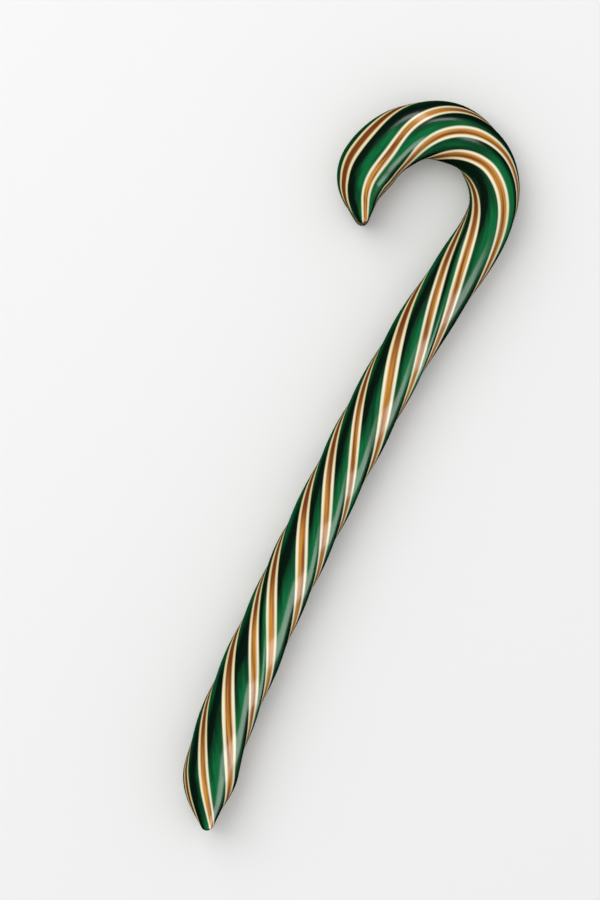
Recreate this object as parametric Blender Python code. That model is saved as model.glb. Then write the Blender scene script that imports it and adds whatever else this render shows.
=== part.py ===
"""A twisted rod of boiled sugar bent into a candy cane, lying on its side.

The shaft runs along +Y, the hook turns towards -X, and the underside is at Z = 0.
The origin is under the middle of the cane's box. Lengths are in metres.
"""

import math

import bmesh
import bpy
from mathutils import Vector

NAME = "candy_cane"

# The rod, measured along its middle from the foot's tip to the hook's tip.
ROD_LENGTH = 0.2315
ROD_WIDTH = 0.0125
ROD_HEIGHT = 0.0126
REST_FLAT = 0.0003

# Swells and thin places in the rod's width: how much, and where each begins and ends.
FOOT_SWELL = 0.0006
FOOT_SWELL_END = (0.040, 0.062)
NECK_THINNING = 0.0007
NECK_MIDDLE = 0.165
NECK_REACH = 0.018
HOOK_SWELL = 0.0017
HOOK_SWELL_START = (0.176, 0.196)

# The two snipped ends: a blunt edge that stands upright, and the wedge behind it.
TIP_WIDTH = 0.0020
TIP_HEIGHT = 0.0116
TIP_ROUNDING = 0.0009
WEDGE_SLOPE = 1.08
FOOT_SHOULDER = 0.0047
HOOK_SHOULDER = 0.0044
PINCH_REACH = 0.014

# The rod's line: degrees turned from +Y towards -X.
FOOT_KICK = 28.0
FOOT_KICK_END = 0.037
SHAFT_LEAN = 5.0
SHAFT_BOW = 61.0
NECK_LEAN = 3.7
NECK_LEAN_SPAN = (0.110, 0.148)
HOOK_RADIUS = 0.0155
HOOK_START = (0.1535, 0.1762)
HOOK_OPENING = 0.23
HOOK_OPENING_MIDDLE = 0.2115
HOOK_OPENING_REACH = 0.016
HOOK_CURL = 0.15
HOOK_CURL_MIDDLE = 0.218
HOOK_CURL_REACH = 0.009
HOOK_END = 0.2265

# The twist, in degrees for each metre of rod, and the stripes around the foot.
TWIST_RATE = 3430.0
SLOW_FOOT_TWIST = 1030.0
SLOW_FOOT_SPAN = (0.0135, 0.028)
FAST_SHAFT_TWIST = 735.0
FAST_SHAFT_MIDDLE = 0.060
FAST_SHAFT_REACH = 0.080
SLOW_NECK_TWIST = 480.0
SLOW_NECK_MIDDLE = 0.170
SLOW_NECK_REACH = 0.075
FAST_HOOK_TWIST = 1200.0
FAST_HOOK_SPAN = (0.178, 0.182)
SLOW_END_TWIST = 4500.0
SLOW_END_SPAN = (0.2035, 0.2185)
FIRST_STRIPE_AT = 0.0288
STRIPES = ((0.0, 31.0), (63.5, 24.0), (107.0, 26.0), (179.0, 29.0), (237.0, 26.0), (294.0, 23.0))
BAND_BULGE = 0.00030
STRIPE_SINK = 0.00008

# The mesh.
COLUMNS = 42
RINGS = 110
RING_CROWDING = 0.08
STATIONS = 920
SHARP_ANGLE = 50.0

GREEN = (0.0, 0.11, 0.035, 1.0)
GLOSS = 0.15


def smooth(value, start, end):
    """0 before start, 1 after end, and an even S between them."""
    t = min(1.0, max(0.0, (value - start) / (end - start)))
    return t * t * (3.0 - 2.0 * t)


def bump(value, middle, reach):
    """1 at the middle, falling evenly to 0 at reach on both sides."""
    t = min(1.0, abs(value - middle) / reach)
    return math.cos(t * math.pi / 2.0) ** 2


def soft_min(first, second, blend):
    """The smaller of two lengths, with the corner between them rounded over blend."""
    near = max(blend - abs(first - second), 0.0) / blend
    return min(first, second) - near * near * blend / 4.0


def heading(along):
    """The rod's direction without the hook's turn, in degrees from +Y towards -X."""
    kick = FOOT_KICK * max(0.0, 1.0 - along / FOOT_KICK_END) ** 2
    lean = SHAFT_LEAN - SHAFT_BOW * min(along, HOOK_START[0])
    return kick + lean - NECK_LEAN * smooth(along, *NECK_LEAN_SPAN)


def hook_curvature(along):
    """How fast the hook turns, in degrees for each metre of rod."""
    if along > HOOK_END:
        return 0.0
    change = HOOK_CURL * bump(along, HOOK_CURL_MIDDLE, HOOK_CURL_REACH)
    change -= HOOK_OPENING * bump(along, HOOK_OPENING_MIDDLE, HOOK_OPENING_REACH)
    return math.degrees(1.0 / HOOK_RADIUS) * smooth(along, *HOOK_START) * (1.0 + change)


def twist_rate(along):
    rate = TWIST_RATE - SLOW_FOOT_TWIST * (1.0 - smooth(along, *SLOW_FOOT_SPAN))
    rate += FAST_SHAFT_TWIST * bump(along, FAST_SHAFT_MIDDLE, FAST_SHAFT_REACH)
    rate -= SLOW_NECK_TWIST * bump(along, SLOW_NECK_MIDDLE, SLOW_NECK_REACH)
    rate += FAST_HOOK_TWIST * smooth(along, *FAST_HOOK_SPAN)
    return rate - SLOW_END_TWIST * smooth(along, *SLOW_END_SPAN)


def lay_out_rod():
    """The middle's place, direction and twist at even steps along the rod."""
    step = ROD_LENGTH / STATIONS
    places, turned, twisted = [Vector((0.0, 0.0))], 0.0, 0.0
    angles, twists = [heading(0.0)], [0.0]
    for index in range(STATIONS):
        middle = (index + 0.5) * step
        turned += hook_curvature(middle) * step
        twisted += twist_rate(middle) * step
        angle = math.radians(heading(middle) + turned)
        places.append(places[-1] + step * Vector((-math.sin(angle), math.cos(angle))))
        angles.append(heading((index + 1) * step) + turned)
        twists.append(twisted)
    first = twists[round(FIRST_STRIPE_AT / step)]
    return places, angles, [twist - first for twist in twists]


def rod_width(along):
    width = ROD_WIDTH + FOOT_SWELL * (1.0 - smooth(along, *FOOT_SWELL_END))
    width -= NECK_THINNING * bump(along, NECK_MIDDLE, NECK_REACH)
    return width + HOOK_SWELL * smooth(along, *HOOK_SWELL_START)


def section_size(along):
    """The section's width and height, pinched at both ends and rounded over at the tips."""
    from_hook = max(0.0, ROD_LENGTH - along)
    width = soft_min(rod_width(along), TIP_WIDTH + WEDGE_SLOPE * along, FOOT_SHOULDER)
    width = soft_min(width, TIP_WIDTH + WEDGE_SLOPE * from_hook, HOOK_SHOULDER)
    from_tip = min(along, from_hook)
    height = TIP_HEIGHT + (ROD_HEIGHT - TIP_HEIGHT) * smooth(from_tip, 0.0, PINCH_REACH)
    inside = max(0.0, 1.0 - from_tip / TIP_ROUNDING)
    cut_back = TIP_ROUNDING * (1.0 - math.sqrt(1.0 - inside * inside))
    return width - cut_back, height - 2.0 * cut_back


def section_point(turn, width, height):
    """A point of the section (to the right, up), at a part of a turn from the top.

    The section is two half-rounds joined by flats, and turns share out its outline evenly.
    """
    radius = min(width, height) / 2.0
    flat_side = height / 2.0 - radius
    flat_top = width / 2.0 - radius
    quarter = flat_top + flat_side + radius * math.pi / 2.0
    turn = turn % 1.0
    reach = min(turn, 1.0 - turn) * 4.0 * quarter
    lower = reach > 2.0 * quarter - reach
    reach = min(reach, 2.0 * quarter - reach)
    if reach < flat_top:
        right, up = reach, height / 2.0
    elif reach > quarter - flat_side:
        right, up = width / 2.0, quarter - reach
    else:
        round_part = (reach - flat_top) / radius
        right = flat_top + radius * math.sin(round_part)
        up = flat_side + radius * math.cos(round_part)
    return (right if turn < 0.5 else -right), (-up if lower else up)


def surface_lift(turn):
    """How far the surface stands out: the green bands bulge and the stripes lie in valleys."""
    angle = (turn * 360.0 + STRIPES[0][1] / 2.0) % 360.0 - STRIPES[0][1] / 2.0
    for index, (middle, width) in enumerate(STRIPES):
        if abs(angle - middle) <= width / 2.0:
            return -STRIPE_SINK * math.cos((angle - middle) / width * math.pi)
        later = STRIPES[index + 1] if index + 1 < len(STRIPES) else (360.0, STRIPES[0][1])
        band_start = middle + width / 2.0
        band_end = later[0] - later[1] / 2.0
        if band_start < angle < band_end:
            return BAND_BULGE * math.sin((angle - band_start) / (band_end - band_start) * math.pi)
    return 0.0


def make_rod():
    """A straight cylinder along Z, with its rings cut evenly along the length."""
    mesh = bmesh.new()
    bmesh.ops.create_cone(
        mesh, cap_ends=True, segments=COLUMNS, radius1=ROD_WIDTH / 2.0, radius2=ROD_WIDTH / 2.0,
        depth=ROD_LENGTH,
    )
    rises = [(edge, abs(edge.verts[0].co.z - edge.verts[1].co.z)) for edge in mesh.edges]
    long_edges = [edge for edge, rise in rises if rise > ROD_WIDTH]
    bmesh.ops.subdivide_edges(mesh, edges=long_edges, cuts=RINGS - 1, use_grid_fill=True)
    return mesh


def ring_place(fraction):
    """Rings crowd together at the two snipped ends, where the shape changes fastest."""
    fraction = min(1.0, max(0.0, fraction))
    return ROD_LENGTH * (fraction - RING_CROWDING * math.sin(math.tau * fraction))


def shape_rod(mesh):
    """Twists, pinches and bends the straight cylinder into the cane."""
    places, angles, twists = lay_out_rod()
    axis_height = ROD_HEIGHT / 2.0 - REST_FLAT
    for vertex in mesh.verts:
        along = ring_place(vertex.co.z / ROD_LENGTH + 0.5)
        turn = math.atan2(vertex.co.x, -vertex.co.y) / math.tau
        station = min(along / ROD_LENGTH, 1.0) * STATIONS
        index = min(int(station), STATIONS - 1)
        part = station - index
        middle = places[index].lerp(places[index + 1], part)
        angle = math.radians(angles[index] + part * (angles[index + 1] - angles[index]))
        twist = (twists[index] + part * (twists[index + 1] - twists[index])) / 360.0
        width, height = section_size(along)
        lift = surface_lift(turn) * min(1.0, width / ROD_WIDTH)
        right, up = section_point(turn - twist, width + 2.0 * lift, height + 2.0 * lift)
        vertex.co = (
            middle.x + right * math.cos(angle),
            middle.y + right * math.sin(angle),
            max(0.0, axis_height + up),
        )


def centre_on_origin(mesh):
    """Moves the middle of the cane's box over the origin, leaving the underside at Z = 0."""
    for axis in (0, 1):
        low = min(vertex.co[axis] for vertex in mesh.verts)
        high = max(vertex.co[axis] for vertex in mesh.verts)
        for vertex in mesh.verts:
            vertex.co[axis] -= (low + high) / 2.0


def sugar_material():
    material = bpy.data.materials.new("green_sugar")
    material.use_nodes = True
    shader = material.node_tree.nodes["Principled BSDF"]
    shader.inputs["Base Color"].default_value = GREEN
    shader.inputs["Roughness"].default_value = GLOSS
    return material


def build():
    for obj in list(bpy.data.objects):
        bpy.data.objects.remove(obj, do_unlink=True)
    collection = bpy.data.collections.new("candy_cane_parts")
    bpy.context.scene.collection.children.link(collection)
    rod = make_rod()
    shape_rod(rod)
    centre_on_origin(rod)
    data = bpy.data.meshes.new(NAME)
    rod.to_mesh(data)
    rod.free()
    data.shade_smooth()
    data.set_sharp_from_angle(angle=math.radians(SHARP_ANGLE))
    data.materials.append(sugar_material())
    collection.objects.link(bpy.data.objects.new(NAME, data))


build()
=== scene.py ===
import math
import bpy
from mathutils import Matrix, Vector


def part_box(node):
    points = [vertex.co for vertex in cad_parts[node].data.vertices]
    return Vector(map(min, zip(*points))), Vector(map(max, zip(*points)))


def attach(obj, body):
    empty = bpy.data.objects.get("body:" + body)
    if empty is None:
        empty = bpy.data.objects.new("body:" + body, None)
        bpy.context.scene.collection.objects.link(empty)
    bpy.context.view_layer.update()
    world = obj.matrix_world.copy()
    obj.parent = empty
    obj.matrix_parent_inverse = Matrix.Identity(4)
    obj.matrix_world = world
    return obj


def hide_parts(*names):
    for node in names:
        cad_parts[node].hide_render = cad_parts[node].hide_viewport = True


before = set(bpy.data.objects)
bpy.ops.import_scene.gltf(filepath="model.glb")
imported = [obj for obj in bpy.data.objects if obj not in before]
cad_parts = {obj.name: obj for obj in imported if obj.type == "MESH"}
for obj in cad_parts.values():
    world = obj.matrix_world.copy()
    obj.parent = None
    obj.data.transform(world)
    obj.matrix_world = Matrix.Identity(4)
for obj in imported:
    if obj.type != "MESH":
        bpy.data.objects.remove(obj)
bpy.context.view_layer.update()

cadNode = "candy_cane"

# The rod is made straight along X, then twisted, snipped at both ends and bent. Metres and degrees.
rod = dict(
    length=0.2315, width=0.0125, height=0.0126, restFlat=0.0003,
    columns=120, firstCuts=19, secondCuts=15, endCrowding=0.08,
    footSwell=0.0006, footSwellEnd=(0.040, 0.062),
    neckThinning=0.0007, neckMiddle=0.165, neckReach=0.018,
    hookSwell=0.0017, hookSwellStart=(0.176, 0.196),
    bandBulge=0.00030, stripeSink=0.00008,
    unevenness=0.00012, unevennessSize=0.016,
)

tips = dict(
    width=0.0020, height=0.0116, rounding=0.0009, slope=1.08,
    footShoulder=0.0047, hookShoulder=0.0044, reach=0.014,
)

line = dict(
    footKick=28.0, footKickEnd=0.037, shaftLean=5.0, shaftBow=61.0,
    neckLean=3.7, neckLeanSpan=(0.110, 0.148),
    hookRadius=0.0155, hookStart=(0.1535, 0.1762), hookEnd=0.2265,
    opening=0.23, openingMiddle=0.2115, openingReach=0.016,
    curl=0.15, curlMiddle=0.218, curlReach=0.009, step=0.0005,
)

twist = dict(
    rate=3430.0, slowFoot=1030.0, slowFootSpan=(0.0135, 0.028),
    fastShaft=735.0, fastShaftMiddle=0.060, fastShaftReach=0.080,
    slowNeck=480.0, slowNeckMiddle=0.170, slowNeckReach=0.075,
    fastHook=1200.0, fastHookSpan=(0.178, 0.182),
    slowEnd=5300.0, slowEndSpan=(0.2035, 0.2185), firstStripeAt=0.0288,
)

# Each stripe's middle and width, in degrees around the rod, and where the map's seam lies.
stripes = dict(
    places=((0.0, 31.0), (63.5, 24.0), (107.0, 26.0), (179.0, 29.0), (237.0, 26.0), (294.0, 23.0)),
    seam=-35.0, creamShare=0.23, edge=2.6, innerEdge=3.6,
)


def smooth(value, start, end):
    t = min(1.0, max(0.0, (value - start) / (end - start)))
    return t * t * (3.0 - 2.0 * t)


def bump(value, middle, reach):
    t = min(1.0, abs(value - middle) / reach)
    return math.cos(t * math.pi / 2.0) ** 2


def softMin(first, second, blend):
    near = max(blend - abs(first - second), 0.0) / blend
    return min(first, second) - near * near * blend / 4.0


def deselectAll():
    if bpy.context.mode != "OBJECT":
        bpy.ops.object.mode_set(mode="OBJECT")
    bpy.ops.object.select_all(action="DESELECT")


def makeActive(obj):
    deselectAll()
    obj.select_set(True)
    bpy.context.view_layer.objects.active = obj


def twistRate(along):
    rate = twist["rate"] - twist["slowFoot"] * (1.0 - smooth(along, *twist["slowFootSpan"]))
    rate += twist["fastShaft"] * bump(along, twist["fastShaftMiddle"], twist["fastShaftReach"])
    rate -= twist["slowNeck"] * bump(along, twist["slowNeckMiddle"], twist["slowNeckReach"])
    rate += twist["fastHook"] * smooth(along, *twist["fastHookSpan"])
    return rate - twist["slowEnd"] * smooth(along, *twist["slowEndSpan"])


def twistSteps():
    # The twist gathered from the foot on, counted from where the first stripe comes to the top.
    gathered = [0.0]
    for index in range(round(rod["length"] / line["step"])):
        gathered.append(gathered[-1] + twistRate((index + 0.5) * line["step"]) * line["step"])
    first = gathered[round(twist["firstStripeAt"] / line["step"])]
    return [(value - first) / 360.0 for value in gathered]


def heading(along):
    kick = line["footKick"] * max(0.0, 1.0 - along / line["footKickEnd"]) ** 2
    lean = line["shaftLean"] - line["shaftBow"] * min(along, line["hookStart"][0])
    return kick + lean - line["neckLean"] * smooth(along, *line["neckLeanSpan"])


def hookCurvature(along):
    if along > line["hookEnd"]:
        return 0.0
    change = line["curl"] * bump(along, line["curlMiddle"], line["curlReach"])
    change -= line["opening"] * bump(along, line["openingMiddle"], line["openingReach"])
    return math.degrees(1.0 / line["hookRadius"]) * smooth(along, *line["hookStart"]) * (1.0 + change)


def rodWidth(along):
    width = rod["width"] + rod["footSwell"] * (1.0 - smooth(along, *rod["footSwellEnd"]))
    width -= rod["neckThinning"] * bump(along, rod["neckMiddle"], rod["neckReach"])
    return width + rod["hookSwell"] * smooth(along, *rod["hookSwellStart"])


def sectionSize(along):
    fromHook = max(0.0, rod["length"] - along)
    width = softMin(rodWidth(along), tips["width"] + tips["slope"] * along, tips["footShoulder"])
    width = softMin(width, tips["width"] + tips["slope"] * fromHook, tips["hookShoulder"])
    fromTip = min(along, fromHook)
    height = tips["height"] + (rod["height"] - tips["height"]) * smooth(fromTip, 0.0, tips["reach"])
    inside = max(0.0, 1.0 - fromTip / tips["rounding"])
    cutBack = tips["rounding"] * (1.0 - math.sqrt(1.0 - inside * inside))
    return width - cutBack, height - 2.0 * cutBack


def sectionPoint(turn, width, height):
    radius = min(width, height) / 2.0
    flatSide = height / 2.0 - radius
    flatTop = width / 2.0 - radius
    quarter = flatTop + flatSide + radius * math.pi / 2.0
    turn = turn % 1.0
    reach = min(turn, 1.0 - turn) * 4.0 * quarter
    lower = reach > quarter
    reach = min(reach, 2.0 * quarter - reach)
    if reach < flatTop:
        right, up = reach, height / 2.0
    elif reach > quarter - flatSide:
        right, up = width / 2.0, quarter - reach
    else:
        roundPart = (reach - flatTop) / radius
        right = flatTop + radius * math.sin(roundPart)
        up = flatSide + radius * math.cos(roundPart)
    return (right if turn < 0.5 else -right), (-up if lower else up)


def surfaceLift(turn):
    places = stripes["places"]
    half = places[0][1] / 2.0
    angle = (turn * 360.0 + half) % 360.0 - half
    for index, (middle, width) in enumerate(places):
        if abs(angle - middle) <= width / 2.0:
            return -rod["stripeSink"] * math.cos((angle - middle) / width * math.pi)
        later = places[index + 1] if index + 1 < len(places) else (360.0, places[0][1])
        bandStart = middle + width / 2.0
        bandEnd = later[0] - later[1] / 2.0
        if bandStart < angle < bandEnd:
            return rod["bandBulge"] * math.sin((angle - bandStart) / (bandEnd - bandStart) * math.pi)
    return 0.0


def makeStraightRod():
    # A cylinder along X with closed ends, cut into even rings by subdividing its long edges twice.
    deselectAll()
    bpy.ops.mesh.primitive_cylinder_add(
        vertices=rod["columns"], radius=rod["width"] / 2.0, depth=rod["length"], end_fill_type="TRIFAN",
        location=(rod["length"] / 2.0, 0.0, 0.0), rotation=(0.0, math.radians(90.0), 0.0),
    )
    candy = bpy.context.object
    candy.name = "candyCane"
    candy.data.name = "candyCane"
    bpy.ops.object.transform_apply(location=True, rotation=True, scale=True)
    for cuts in (rod["firstCuts"], rod["secondCuts"]):
        bpy.ops.object.mode_set(mode="EDIT")
        bpy.ops.mesh.select_mode(type="EDGE")
        bpy.ops.mesh.select_all(action="DESELECT")
        bpy.ops.object.mode_set(mode="OBJECT")
        points = candy.data.vertices
        for edge in candy.data.edges:
            start, end = (points[index].co for index in edge.vertices)
            edge.select = abs(start.x - end.x) > rod["length"] / 1000.0
        bpy.ops.object.mode_set(mode="EDIT")
        bpy.ops.mesh.subdivide(number_cuts=cuts)
    bpy.ops.object.mode_set(mode="OBJECT")
    return candy


def layMap(candy):
    # Across the map is once around the rod, so every stripe is an upright column in it.
    mesh = candy.data
    while mesh.uv_layers:
        mesh.uv_layers.remove(mesh.uv_layers[0])
    layer = mesh.uv_layers.new(name="OFBake")
    margin = 0.01
    for face in mesh.polygons:
        corners = []
        for loop in face.loop_indices:
            place = mesh.vertices[mesh.loops[loop].vertex_index].co
            around = (math.atan2(-place.y, place.z) / math.tau - stripes["seam"] / 360.0) % 1.0
            middle = math.hypot(place.y, place.z) < rod["width"] / 10.0
            corners.append([loop, None if middle else around, place.x / rod["length"]])
        known = [around for _, around, _ in corners if around is not None]
        wraps = max(known) - min(known) > 0.5
        known = [around + 1.0 if wraps and around < 0.5 else around for around in known]
        for loop, around, along in corners:
            if around is None:
                layer.data[loop].uv = (sum(known) / len(known), round(along))
                continue
            if wraps and around < 0.5:
                around += 1.0
            layer.data[loop].uv = (around, margin + (1.0 - 2.0 * margin) * along)


def twistAndSnip(candy):
    # Turns each ring with the twist and gives it its own section; the rod is still straight.
    steps = twistSteps()
    for point in candy.data.vertices:
        fraction = min(1.0, max(0.0, point.co.x / rod["length"]))
        along = rod["length"] * (fraction - rod["endCrowding"] * math.sin(math.tau * fraction))
        station = along / line["step"]
        index = min(int(station), len(steps) - 2)
        turned = steps[index] + (station - index) * (steps[index + 1] - steps[index])
        if math.hypot(point.co.y, point.co.z) < rod["width"] / 10.0:
            point.co = (along, 0.0, 0.0)
            continue
        turn = math.atan2(-point.co.y, point.co.z) / math.tau
        width, height = sectionSize(along)
        lift = surfaceLift(turn) * min(1.0, width / rod["width"])
        right, up = sectionPoint(turn - turned, width + 2.0 * lift, height + 2.0 * lift)
        point.co = (along, -right, up)


def roughenByHand(candy):
    # Slow swells and dents, as sugar rolled by hand has.
    texture = bpy.data.textures.new("handRolled", "CLOUDS")
    texture.noise_scale = rod["unevennessSize"]
    texture.noise_depth = 1
    modifier = candy.modifiers.new("unevenness", "DISPLACE")
    modifier.texture = texture
    modifier.texture_coords = "LOCAL"
    modifier.strength = 2.0 * rod["unevenness"]
    modifier.mid_level = 0.5
    makeActive(candy)
    bpy.ops.object.modifier_apply(modifier=modifier.name)
    bpy.data.textures.remove(texture)


def makeGuide():
    # The line the rod is bent along, in the plane of the table.
    guide = bpy.data.curves.new("guide", "CURVE")
    guide.dimensions = "3D"
    guide.twist_mode = "Z_UP"
    steps = round(rod["length"] / line["step"])
    spline = guide.splines.new("POLY")
    spline.points.add(steps)
    place, turned = Vector((0.0, 0.0, 0.0)), 0.0
    for index in range(steps):
        spline.points[index].co = (*place, 1.0)
        middle = (index + 0.5) * line["step"]
        turned += hookCurvature(middle) * line["step"]
        angle = math.radians(heading(middle) + turned)
        place = place + line["step"] * Vector((-math.sin(angle), math.cos(angle), 0.0))
    spline.points[steps].co = (*place, 1.0)
    obj = bpy.data.objects.new("guide", guide)
    bpy.context.scene.collection.objects.link(obj)
    return obj


def bendRod(candy):
    guide = makeGuide()
    modifier = candy.modifiers.new("bend", "CURVE")
    modifier.object = guide
    modifier.deform_axis = "POS_X"
    makeActive(candy)
    bpy.ops.object.modifier_apply(modifier=modifier.name)
    bpy.data.objects.remove(guide, do_unlink=True)


def settleOnTable(candy):
    # The lowest points are pressed flat, and the cane moves to the place that its frame has.
    low, high = (Vector(corner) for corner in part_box(cadNode))
    points = candy.data.vertices
    middles = [(min(p.co[axis] for p in points) + max(p.co[axis] for p in points)) / 2.0 for axis in (0, 1)]
    lift = rod["height"] / 2.0 - rod["restFlat"]
    shift = ((low.x + high.x) / 2.0 - middles[0], (low.y + high.y) / 2.0 - middles[1], lift)
    makeActive(candy)
    bpy.ops.object.mode_set(mode="EDIT")
    bpy.ops.mesh.select_mode(type="VERT")
    bpy.ops.mesh.select_all(action="SELECT")
    bpy.ops.transform.translate(value=shift)
    bpy.ops.mesh.select_all(action="DESELECT")
    bpy.ops.object.mode_set(mode="OBJECT")
    for point in candy.data.vertices:
        point.select = point.co.z < 0.0
    bpy.ops.object.mode_set(mode="EDIT")
    bpy.ops.transform.resize(value=(1.0, 1.0, 0.0), center_override=(0.0, 0.0, 0.0))
    bpy.ops.object.mode_set(mode="OBJECT")


def makeCane():
    candy = makeStraightRod()
    layMap(candy)
    twistAndSnip(candy)
    roughenByHand(candy)
    bendRod(candy)
    settleOnTable(candy)
    makeActive(candy)
    bpy.ops.object.shade_smooth()
    print("candy cane shaped:", len(candy.data.polygons), "faces")
    return candy


# Colours are linear. Each sugar's deep and bright colours are the same sugar with painted shade and painted light,
# picked by which way the surface faces.
# Streaks are given as how many around the rod, how many along it, and their contrast.
sugar = dict(
    paintedShadeGreen=(0.0012, 0.0085, 0.0042, 1.0), paintedLitGreen=(0.0005, 0.165, 0.045, 1.0),
    paintedShadeCaramel=(0.170, 0.032, 0.006, 1.0), paintedLitCaramel=(0.640, 0.270, 0.030, 1.0),
    paintedShadeCream=(0.72, 0.64, 0.33, 1.0), cream=(0.95, 0.90, 0.66, 1.0),
    # The fixed direction the painted light comes from, and how the painted light rises over it on the stripes and on
    # the green.
    roughness=0.23, paintedLightFrom=(0.42, -0.06, 0.905), paintedStripeLightSpan=(0.25, 0.97),
    paintedGreenLight=((0.30, 0.70), (0.50, 0.45), (0.62, 0.10), (0.70, 0.0), (0.86, 0.02), (0.94, 0.42), (1.0, 1.05)),
    wander=(5.0, 9.0, 1.0), wanderWidth=0.010,
    patches=(10.0, 12.0, 2.6), patchDepth=0.13,
    greenStreaks=(60.0, 3.0, 1.6), leastGreen=0.45,
    caramelStreaks=(50.0, 15.0, 4.0), leastCaramel=0.15,
)


def addNode(tree, kind, place, **settings):
    node = tree.nodes.new(kind)
    node.location = place
    for name, value in settings.items():
        setattr(node, name, value)
    return node


def mathNode(tree, operation, first, second, place, clamp=False):
    node = addNode(tree, "ShaderNodeMath", place, operation=operation, use_clamp=clamp)
    for socket, value in zip(node.inputs, (first, second)):
        if isinstance(value, (int, float)):
            socket.default_value = value
        elif value is not None:
            tree.links.new(value, socket)
    return node.outputs[0]


def mixColours(tree, factor, first, second, place):
    node = addNode(tree, "ShaderNodeMix", place, data_type="RGBA")
    for socket, value in ((node.inputs[0], factor), (node.inputs[6], first), (node.inputs[7], second)):
        if isinstance(value, (int, float, tuple)):
            socket.default_value = value
        else:
            tree.links.new(value, socket)
    return node.outputs[2]


def rampNode(tree, factor, stops, place):
    node = addNode(tree, "ShaderNodeValToRGB", place)
    ramp = node.color_ramp
    while len(ramp.elements) > 1:
        ramp.elements.remove(ramp.elements[-1])
    for index, (position, value) in enumerate(stops):
        element = ramp.elements[0] if index == 0 else ramp.elements.new(position)
        element.position = position
        element.color = (value, value, value, 1.0)
    tree.links.new(factor, node.inputs[0])
    return node.outputs[0]


def riseNode(tree, value, span, place):
    # 0 below the span, 1 above it, and an even S between.
    node = addNode(tree, "ShaderNodeMapRange", place, interpolation_type="SMOOTHSTEP")
    node.inputs["From Min"].default_value, node.inputs["From Max"].default_value = span
    tree.links.new(value, node.inputs["Value"])
    return node.outputs[0]


def stripeStops(share, edge):
    # Stops that rise to 1 over the middle part of each stripe.
    stops = [(0.0, 0.0)]
    for middle, width in stripes["places"]:
        for side in (-1.0, 1.0):
            rim = middle + side * width / 2.0 * share - stripes["seam"]
            outer, inner = rim + side * edge / 2.0, rim - side * edge / 2.0
            pair = [(outer / 360.0, 0.0), (inner / 360.0, 1.0)]
            stops += pair if side < 0.0 else pair[::-1]
    return stops


def makeStreaks():
    # Fine streaks drawn out along the rod, as in pulled sugar.
    group = bpy.data.node_groups.new("pulledStreaks", "ShaderNodeTree")
    face = group.interface
    face.new_socket("Map", in_out="INPUT", socket_type="NodeSocketVector")
    face.new_socket("Around", in_out="INPUT", socket_type="NodeSocketFloat").default_value = 40.0
    face.new_socket("Along", in_out="INPUT", socket_type="NodeSocketFloat").default_value = 3.0
    face.new_socket("Contrast", in_out="INPUT", socket_type="NodeSocketFloat").default_value = 1.0
    face.new_socket("Streak", in_out="OUTPUT", socket_type="NodeSocketFloat")
    start = addNode(group, "NodeGroupInput", (-600, 0))
    end = addNode(group, "NodeGroupOutput", (600, 0))
    scale = addNode(group, "ShaderNodeCombineXYZ", (-400, -100))
    group.links.new(start.outputs["Around"], scale.inputs[0])
    group.links.new(start.outputs["Along"], scale.inputs[1])
    stretched = addNode(group, "ShaderNodeVectorMath", (-200, 0), operation="MULTIPLY")
    group.links.new(start.outputs["Map"], stretched.inputs[0])
    group.links.new(scale.outputs[0], stretched.inputs[1])
    noise = addNode(group, "ShaderNodeTexNoise", (0, 0))
    noise.inputs["Scale"].default_value = 1.0
    noise.inputs["Detail"].default_value = 3.0
    group.links.new(stretched.outputs[0], noise.inputs["Vector"])
    centred = mathNode(group, "SUBTRACT", noise.outputs[0], 0.5, (200, 0))
    wide = mathNode(group, "MULTIPLY", centred, start.outputs["Contrast"], (320, 0))
    shown = mathNode(group, "ADD", wide, 0.5, (440, 0), clamp=True)
    group.links.new(shown, end.inputs[0])
    return group


def streaks(tree, group, mapSocket, look, place):
    node = addNode(tree, "ShaderNodeGroup", place, node_tree=group)
    tree.links.new(mapSocket, node.inputs["Map"])
    for name, value in zip(("Around", "Along", "Contrast"), look):
        node.inputs[name].default_value = value
    return node.outputs["Streak"]


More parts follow.
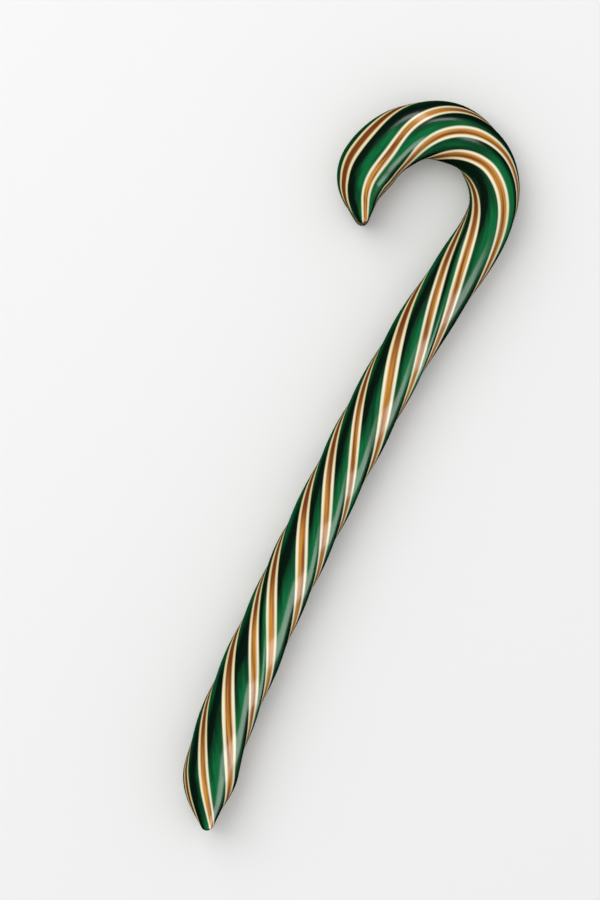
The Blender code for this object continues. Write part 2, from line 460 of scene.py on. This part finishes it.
def makeSugar():
    material = bpy.data.materials.new("boiledSugar")
    material.use_nodes = True
    tree = material.node_tree
    shader = tree.nodes["Principled BSDF"]
    group = makeStreaks()
    mapNode = addNode(tree, "ShaderNodeUVMap", (-1600, 0), uv_map="OFBake")
    flat = mapNode.outputs[0]
    split = addNode(tree, "ShaderNodeSeparateXYZ", (-1400, 0))

    # The stripes wander a little and swell and thin along the rod.
    wander = streaks(tree, group, flat, sugar["wander"], (-1600, -200))
    sideways = mathNode(tree, "SUBTRACT", wander, 0.5, (-1400, -200))
    offset = mathNode(tree, "MULTIPLY", sideways, sugar["wanderWidth"], (-1250, -200))
    tree.links.new(flat, split.inputs[0])
    around = mathNode(tree, "ADD", split.outputs[0], offset, (-1100, 0))
    stripeMask = rampNode(tree, around, stripeStops(1.0, stripes["edge"]), (-900, 150))
    innerShare = 1.0 - 2.0 * stripes["creamShare"]
    caramelMask = rampNode(tree, around, stripeStops(innerShare, stripes["innerEdge"]), (-900, -150))

    # Painted light and shade: the sugar is painted bright on the sides that face one fixed direction and painted
    # dark on the others, in uneven patches.
    facing = addNode(tree, "ShaderNodeTexCoord", (-1600, 500))
    towardsPaintedLight = addNode(tree, "ShaderNodeVectorMath", (-1400, 500), operation="DOT_PRODUCT")
    towardsPaintedLight.inputs[1].default_value = sugar["paintedLightFrom"]
    tree.links.new(facing.outputs["Normal"], towardsPaintedLight.inputs[0])
    halved = mathNode(tree, "MULTIPLY_ADD", towardsPaintedLight.outputs["Value"], 0.5, (-1300, 600))
    halved.node.inputs[2].default_value = 0.5
    patches = streaks(tree, group, flat, sugar["patches"], (-1300, 800))
    centred = mathNode(tree, "SUBTRACT", patches, 0.5, (-1150, 800))
    patchy = mathNode(tree, "MULTIPLY", centred, sugar["patchDepth"], (-1050, 800))
    uneven = mathNode(tree, "ADD", halved, patchy, (-1000, 600))
    paintedGreenLightRamp = rampNode(tree, uneven, sugar["paintedGreenLight"], (-900, 600))
    paintedStripeLight = riseNode(tree, towardsPaintedLight.outputs["Value"], sugar["paintedStripeLightSpan"], (-1200, 250))

    # Green, caramel and cream are each mixed between their painted shade and painted lit colours by the painted
    # light; streaks break up the green and caramel.
    greenStreak = streaks(tree, group, flat, sugar["greenStreaks"], (-900, 700))
    greenShare = mathNode(tree, "ADD", greenStreak, sugar["leastGreen"], (-700, 700))
    paintedGreenLight = mathNode(tree, "MULTIPLY", paintedGreenLightRamp, greenShare, (-550, 600), clamp=True)
    green = mixColours(tree, paintedGreenLight, sugar["paintedShadeGreen"], sugar["paintedLitGreen"], (-400, 500))
    caramelStreak = streaks(tree, group, flat, sugar["caramelStreaks"], (-900, 350))
    caramelShare = mathNode(tree, "ADD", caramelStreak, sugar["leastCaramel"], (-700, 350))
    paintedCaramelLight = mathNode(tree, "MULTIPLY", paintedStripeLight, caramelShare, (-550, 350), clamp=True)
    caramel = mixColours(tree, paintedCaramelLight, sugar["paintedShadeCaramel"], sugar["paintedLitCaramel"], (-400, 250))
    cream = mixColours(tree, paintedStripeLight, sugar["paintedShadeCream"], sugar["cream"], (-400, 50))
    stripe = mixColours(tree, caramelMask, cream, caramel, (-200, 150))
    colour = mixColours(tree, stripeMask, green, stripe, (0, 200))
    tree.links.new(colour, shader.inputs["Base Color"])
    shader.inputs["Roughness"].default_value = sugar["roughness"]
    print("sugar ready")
    return material


def aimAt(obj, target):
    obj.rotation_euler = (Vector(target) - obj.location).to_track_quat("-Z", "Y").to_euler()


studio = dict(
    lean=26.2, lens=120.0, tall=0.224, floorSize=6.0, floorColour=(0.90, 0.90, 0.90, 1.0), ambient=0.735,
    keyPower=4.5, keySize=0.9, keyPlace=(-0.45, 0.45, 0.8),
    stripPower=2.1, stripSize=(0.32, 0.42), stripPlace=(0.37, -0.29, 0.20),
    crownPower=0.5, crownSize=(0.20, 0.16), crownPlace=(0.06, 0.36, 0.36),
)


def turned(place):
    # A place seen from the camera's own right and up, put into the frame.
    lean = math.radians(studio["lean"])
    right, up, high = place
    return Vector((right * math.cos(lean) - up * math.sin(lean), right * math.sin(lean) + up * math.cos(lean), high))


def addLamp(name, place, power, size, sheenOnly):
    light = bpy.data.lights.new(name, "AREA")
    light.shape = "RECTANGLE"
    light.size, light.size_y = size
    light.energy = power
    light.color = (1.0, 1.0, 1.0)
    lamp = bpy.data.objects.new(name, light)
    bpy.context.scene.collection.objects.link(lamp)
    lamp.location = turned(place)
    # A lamp either lights the scene softly or only makes the sheen.
    lamp.visible_glossy = sheenOnly
    lamp.visible_diffuse = not sheenOnly
    aimAt(lamp, (0.0, 0.0, 0.0))


def makeStudio():
    scene = bpy.context.scene
    scene.view_settings.view_transform = "Standard"
    deselectAll()
    bpy.ops.mesh.primitive_plane_add(size=studio["floorSize"], location=(0.0, 0.0, 0.0))
    floor = bpy.context.object
    floor.name = "floor"
    paper = bpy.data.materials.new("paper")
    paper.use_nodes = True
    paper.node_tree.nodes["Principled BSDF"].inputs["Base Color"].default_value = studio["floorColour"]
    paper.node_tree.nodes["Principled BSDF"].inputs["Roughness"].default_value = 0.9
    floor.data.materials.append(paper)
    floor.visible_glossy = False

    world = bpy.data.worlds.new("softLight")
    world.use_nodes = True
    world.node_tree.nodes["Background"].inputs["Color"].default_value = (1.0, 1.0, 1.0, 1.0)
    world.node_tree.nodes["Background"].inputs["Strength"].default_value = studio["ambient"]
    world.cycles_visibility.glossy = False
    scene.world = world

    addLamp("keySoftbox", studio["keyPlace"], studio["keyPower"], (studio["keySize"], studio["keySize"]), False)
    addLamp("stripSoftbox", studio["stripPlace"], studio["stripPower"], studio["stripSize"], True)
    addLamp("crownSoftbox", studio["crownPlace"], studio["crownPower"], studio["crownSize"], True)

    camera = bpy.data.objects.new("camera", bpy.data.cameras.new("camera"))
    scene.collection.objects.link(camera)
    camera.data.lens = studio["lens"]
    low, high = (Vector(corner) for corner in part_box(cadNode))
    distance = studio["tall"] * studio["lens"] / camera.data.sensor_width
    camera.location = ((low.x + high.x) / 2.0, (low.y + high.y) / 2.0, distance)
    camera.rotation_euler = (0.0, 0.0, math.radians(studio["lean"]))
    scene.camera = camera
    print("studio ready")


candyCane = makeCane()
candyCane.data.materials.clear()
candyCane.data.materials.append(makeSugar())
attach(candyCane, "root")
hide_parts(cadNode)
makeStudio()
